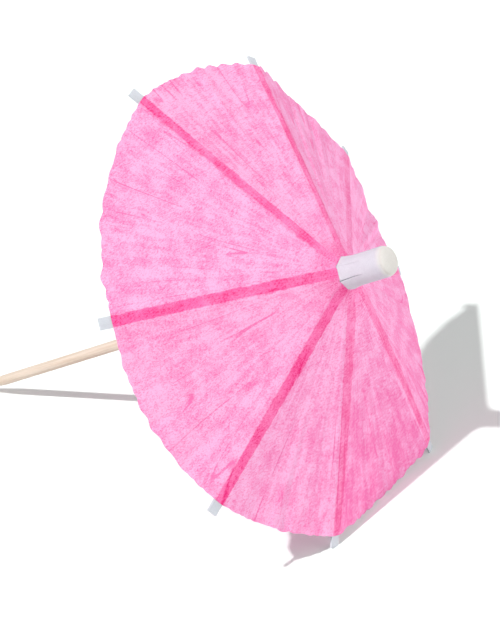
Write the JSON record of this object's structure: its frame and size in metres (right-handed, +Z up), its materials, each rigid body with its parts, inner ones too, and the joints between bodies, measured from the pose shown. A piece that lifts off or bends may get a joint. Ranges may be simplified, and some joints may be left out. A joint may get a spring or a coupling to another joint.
{
  "type": "cocktail umbrella pick",
  "caption": "Small paper parasol on a pointed wooden pick: card ribs and struts fold from a hub and a sliding runner, and the tissue canopy pleats as it closes.",
  "frame": {"origin": "on the pick's axis, where the sharpened point meets the plain shank", "axes": "+Z up along the pick towards the hub; the ribs stand round it and the canopy's mouth faces -Z"},
  "size_m": [0.0935, 0.0947, 0.1201],
  "materials": {
    "pink_paper": "matte",
    "white_card": "matte",
    "cream_paper": "matte",
    "wood": "bare",
    "ring_plastic": "matte"
  },
  "bodies": {
    "frame": {"pick": "wood", "hub_tube": "white_card", "hub_core": "cream_paper"},
    "runner": {"runner_tube": "white_card", "runner_core": "cream_paper"},
    "ring": {"stop_ring": "ring_plastic"},
    "rib_1": {"rib_1": "white_card", "band_1": "pink_paper"},
    "strut_1": {"strut_1": "white_card"},
    "panel_1_right": {"panel_1_right": "pink_paper"},
    "panel_1_left": {"panel_1_left": "pink_paper"},
    "rib_2": {"rib_2": "white_card", "band_2": "pink_paper"},
    "strut_2": {"strut_2": "white_card"},
    "panel_2_right": {"panel_2_right": "pink_paper"},
    "panel_2_left": {"panel_2_left": "pink_paper"},
    "rib_3": {"rib_3": "white_card", "band_3": "pink_paper"},
    "strut_3": {"strut_3": "white_card"},
    "panel_3_right": {"panel_3_right": "pink_paper"},
    "panel_3_left": {"panel_3_left": "pink_paper"},
    "rib_4": {"rib_4": "white_card", "band_4": "pink_paper"},
    "strut_4": {"strut_4": "white_card"},
    "panel_4_right": {"panel_4_right": "pink_paper"},
    "panel_4_left": {"panel_4_left": "pink_paper"},
    "rib_5": {"rib_5": "white_card", "band_5": "pink_paper"},
    "strut_5": {"strut_5": "white_card"},
    "panel_5_right": {"panel_5_right": "pink_paper"},
    "panel_5_left": {"panel_5_left": "pink_paper"},
    "rib_6": {"rib_6": "white_card", "band_6": "pink_paper"},
    "strut_6": {"strut_6": "white_card"},
    "panel_6_right": {"panel_6_right": "pink_paper"},
    "panel_6_left": {"panel_6_left": "pink_paper"},
    "rib_7": {"rib_7": "white_card", "band_7": "pink_paper"},
    "strut_7": {"strut_7": "white_card"},
    "panel_7_right": {"panel_7_right": "pink_paper"},
    "panel_7_left": {"panel_7_left": "pink_paper"},
    "rib_8": {"rib_8": "white_card", "band_8": "pink_paper"},
    "strut_8": {"strut_8": "white_card"},
    "panel_8_right": {"panel_8_right": "pink_paper"},
    "panel_8_left": {"panel_8_left": "pink_paper"}
  },
  "joints": [
    {"name": "runner_slide", "type": "slide", "parent": "frame", "child": "runner", "axis": [0, 0, -1], "range_m": [0, 0.031]},
    {"name": "ring_slide", "type": "slide", "parent": "frame", "child": "ring", "axis": [0, 0, -1], "range_m": [0, 0.031]},
    {"name": "rib_1_fold", "type": "hinge", "parent": "frame", "child": "rib_1", "pos_m": [-0.00284, -0.00095, 0.099], "axis": [0.3173, -0.9483, 0], "range_deg": [0, 50.01]},
    {"name": "strut_1_fold", "type": "hinge", "parent": "rib_1", "child": "strut_1", "pos_m": [-0.02516, -0.00842, 0.08897], "axis": [0.3173, -0.9483, 0], "range_deg": [-106.25, 0]},
    {"name": "panel_1_right_fold", "type": "hinge", "parent": "rib_1", "child": "panel_1_right", "pos_m": [-0.00261, -0.00198, 0.09925], "axis": [-0.8793, -0.2942, -0.3746], "range_deg": [0, 62.75]},
    {"name": "panel_1_left_fold", "type": "hinge", "parent": "rib_1", "child": "panel_1_left", "pos_m": [-0.00327, 0.00001, 0.09925], "axis": [-0.8793, -0.2942, -0.3746], "range_deg": [-71.27, 0]},
    {"name": "rib_2_fold", "type": "hinge", "parent": "frame", "child": "rib_2", "pos_m": [-0.00152, -0.00258, 0.099], "axis": [0.8616, -0.5075, 0], "range_deg": [0, 53.01]},
    {"name": "strut_2_fold", "type": "hinge", "parent": "rib_2", "child": "strut_2", "pos_m": [-0.01347, -0.02286, 0.09039], "axis": [0.8616, -0.5075, 0], "range_deg": [-106.82, 0]},
    {"name": "panel_2_right_fold", "type": "hinge", "parent": "rib_2", "child": "panel_2_right", "pos_m": [-0.00066, -0.00319, 0.09926], "axis": [-0.4799, -0.8147, -0.3256], "range_deg": [0, 62.66]},
    {"name": "panel_2_left_fold", "type": "hinge", "parent": "rib_2", "child": "panel_2_left", "pos_m": [-0.00247, -0.00213, 0.09926], "axis": [-0.4799, -0.8147, -0.3256], "range_deg": [-75.15, 0]},
    {"name": "rib_3_fold", "type": "hinge", "parent": "frame", "child": "rib_3", "pos_m": [0.00088, -0.00287, 0.099], "axis": [0.9563, 0.2924, 0], "range_deg": [0, 54.01]},
    {"name": "strut_3_fold", "type": "hinge", "parent": "rib_3", "child": "strut_3", "pos_m": [0.00775, -0.02536, 0.09086], "axis": [0.9563, 0.2924, 0], "range_deg": [-107.03, 0]},
    {"name": "panel_3_right_fold", "type": "hinge", "parent": "rib_3", "child": "panel_3_right", "pos_m": [0.00191, -0.00264, 0.09926], "axis": [0.2781, -0.9095, -0.309], "range_deg": [0, 64.55]},
    {"name": "panel_3_left_fold", "type": "hinge", "parent": "rib_3", "child": "panel_3_left", "pos_m": [-0.0001, -0.00326, 0.09926], "axis": [0.2781, -0.9095, -0.309], "range_deg": [-65.13, 0]},
    {"name": "rib_4_fold", "type": "hinge", "parent": "frame", "child": "rib_4", "pos_m": [0.00284, -0.00095, 0.099], "axis": [0.3173, 0.9483, 0], "range_deg": [0, 51.51]},
    {"name": "strut_4_fold", "type": "hinge", "parent": "rib_4", "child": "strut_4", "pos_m": [0.02517, -0.00842, 0.08969], "axis": [0.3173, 0.9483, 0], "range_deg": [-106.52, 0]},
    {"name": "panel_4_right_fold", "type": "hinge", "parent": "rib_4", "child": "panel_4_right", "pos_m": [0.00327, 0.00001, 0.09925], "axis": [0.8883, -0.2972, -0.3502], "range_deg": [0, 64.08]},
    {"name": "panel_4_left_fold", "type": "hinge", "parent": "rib_4", "child": "panel_4_left", "pos_m": [0.0026, -0.00198, 0.09925], "axis": [0.8883, -0.2972, -0.3502], "range_deg": [-58.25, 0]},
    {"name": "rib_5_fold", "type": "hinge", "parent": "frame", "child": "rib_5", "pos_m": [0.00262, 0.00145, 0.099], "axis": [-0.4848, 0.8746, 0], "range_deg": [0, 51.51]},
    {"name": "strut_5_fold", "type": "hinge", "parent": "rib_5", "child": "strut_5", "pos_m": [0.02321, 0.01287, 0.08969], "axis": [-0.4848, 0.8746, 0], "range_deg": [-106.52, 0]},
    {"name": "panel_5_right_fold", "type": "hinge", "parent": "rib_5", "child": "panel_5_right", "pos_m": [0.0022, 0.00242, 0.09925], "axis": [0.8192, 0.4541, -0.3502], "range_deg": [0, 65.26]},
    {"name": "panel_5_left_fold", "type": "hinge", "parent": "rib_5", "child": "panel_5_left", "pos_m": [0.00322, 0.00058, 0.09925], "axis": [0.8192, 0.4541, -0.3502], "range_deg": [-64.08, 0]},
    {"name": "rib_6_fold", "type": "hinge", "parent": "frame", "child": "rib_6", "pos_m": [0.00115, 0.00277, 0.099], "axis": [-0.9239, 0.3827, 0], "range_deg": [0, 53.51]},
    {"name": "strut_6_fold", "type": "hinge", "parent": "rib_6", "child": "strut_6", "pos_m": [0.01015, 0.0245, 0.09062], "axis": [-0.9239, 0.3827, 0], "range_deg": [-106.92, 0]},
    {"name": "panel_6_right_fold", "type": "hinge", "parent": "rib_6", "child": "panel_6_right", "pos_m": [0.00021, 0.00325, 0.09926], "axis": [0.3629, 0.8761, -0.3173], "range_deg": [0, 60.71]},
    {"name": "panel_6_left_fold", "type": "hinge", "parent": "rib_6", "child": "panel_6_left", "pos_m": [0.00215, 0.00245, 0.09926], "axis": [0.3629, 0.8761, -0.3173], "range_deg": [-71.59, 0]},
    {"name": "rib_7_fold", "type": "hinge", "parent": "frame", "child": "rib_7", "pos_m": [-0.00117, 0.00276, 0.099], "axis": [-0.9205, -0.3907, 0], "range_deg": [0, 56.61]},
    {"name": "strut_7_fold", "type": "hinge", "parent": "rib_7", "child": "strut_7", "pos_m": [-0.01033, 0.02433, 0.09205], "axis": [-0.9205, -0.3907, 0], "range_deg": [-107.61, 0]},
    {"name": "panel_7_right_fold", "type": "hinge", "parent": "rib_7", "child": "panel_7_right", "pos_m": [-0.00217, 0.00242, 0.09926], "axis": [-0.3767, 0.8875, -0.2656], "range_deg": [0, 93.73]},
    {"name": "panel_7_left_fold", "type": "hinge", "parent": "rib_7", "child": "panel_7_left", "pos_m": [-0.00023, 0.00324, 0.09926], "axis": [-0.3767, 0.8875, -0.2656], "range_deg": [-69.16, 0]},
    {"name": "rib_8_fold", "type": "hinge", "parent": "frame", "child": "rib_8", "pos_m": [-0.00287, 0.00088, 0.099], "axis": [-0.2924, -0.9563, 0], "range_deg": [0, 49.41]},
    {"name": "strut_8_fold", "type": "hinge", "parent": "rib_8", "child": "strut_8", "pos_m": [-0.02537, 0.00775, 0.08869], "axis": [-0.2924, -0.9563, 0], "range_deg": [-106.14, 0]},
    {"name": "panel_8_right_fold", "type": "hinge", "parent": "rib_8", "child": "panel_8_right", "pos_m": [-0.00328, -0.0001, 0.09925], "axis": [-0.8829, 0.2699, -0.3843], "range_deg": [0, 69.14]},
    {"name": "panel_8_left_fold", "type": "hinge", "parent": "rib_8", "child": "panel_8_left", "pos_m": [-0.00266, 0.00191, 0.09925], "axis": [-0.8829, 0.2699, -0.3843], "range_deg": [-54.52, 0]}
  ],
  "couplings": [
    {"joint": "ring_slide", "follows": "runner_slide", "ratio": 1},
    {"joint": "rib_1_fold", "follows": "runner_slide", "rad_per_m": 28.15},
    {"joint": "strut_1_fold", "follows": "runner_slide", "rad_per_m": -59.812},
    {"joint": "panel_1_right_fold", "follows": "runner_slide", "rad_per_m": 35.321},
    {"joint": "panel_1_left_fold", "follows": "runner_slide", "rad_per_m": -40.12},
    {"joint": "rib_2_fold", "follows": "runner_slide", "rad_per_m": 29.84},
    {"joint": "strut_2_fold", "follows": "runner_slide", "rad_per_m": -60.134},
    {"joint": "panel_2_right_fold", "follows": "runner_slide", "rad_per_m": 35.271},
    {"joint": "panel_2_left_fold", "follows": "runner_slide", "rad_per_m": -42.306},
    {"joint": "rib_3_fold", "follows": "runner_slide", "rad_per_m": 30.403},
    {"joint": "strut_3_fold", "follows": "runner_slide", "rad_per_m": -60.251},
    {"joint": "panel_3_right_fold", "follows": "runner_slide", "rad_per_m": 36.335},
    {"joint": "panel_3_left_fold", "follows": "runner_slide", "rad_per_m": -36.663},
    {"joint": "rib_4_fold", "follows": "runner_slide", "rad_per_m": 28.995},
    {"joint": "strut_4_fold", "follows": "runner_slide", "rad_per_m": -59.967},
    {"joint": "panel_4_right_fold", "follows": "runner_slide", "rad_per_m": 36.072},
    {"joint": "panel_4_left_fold", "follows": "runner_slide", "rad_per_m": -32.792},
    {"joint": "rib_5_fold", "follows": "runner_slide", "rad_per_m": 28.995},
    {"joint": "strut_5_fold", "follows": "runner_slide", "rad_per_m": -59.967},
    {"joint": "panel_5_right_fold", "follows": "runner_slide", "rad_per_m": 36.734},
    {"joint": "panel_5_left_fold", "follows": "runner_slide", "rad_per_m": -36.072},
    {"joint": "rib_6_fold", "follows": "runner_slide", "rad_per_m": 30.121},
    {"joint": "strut_6_fold", "follows": "runner_slide", "rad_per_m": -60.192},
    {"joint": "panel_6_right_fold", "follows": "runner_slide", "rad_per_m": 34.174},
    {"joint": "panel_6_left_fold", "follows": "runner_slide", "rad_per_m": -40.3},
    {"joint": "rib_7_fold", "follows": "runner_slide", "rad_per_m": 31.866},
    {"joint": "strut_7_fold", "follows": "runner_slide", "rad_per_m": -60.579},
    {"joint": "panel_7_right_fold", "follows": "runner_slide", "rad_per_m": 52.764},
    {"joint": "panel_7_left_fold", "follows": "runner_slide", "rad_per_m": -38.932},
    {"joint": "rib_8_fold", "follows": "runner_slide", "rad_per_m": 27.813},
    {"joint": "strut_8_fold", "follows": "runner_slide", "rad_per_m": -59.754},
    {"joint": "panel_8_right_fold", "follows": "runner_slide", "rad_per_m": 38.919},
    {"joint": "panel_8_left_fold", "follows": "runner_slide", "rad_per_m": -30.688}
  ]
}
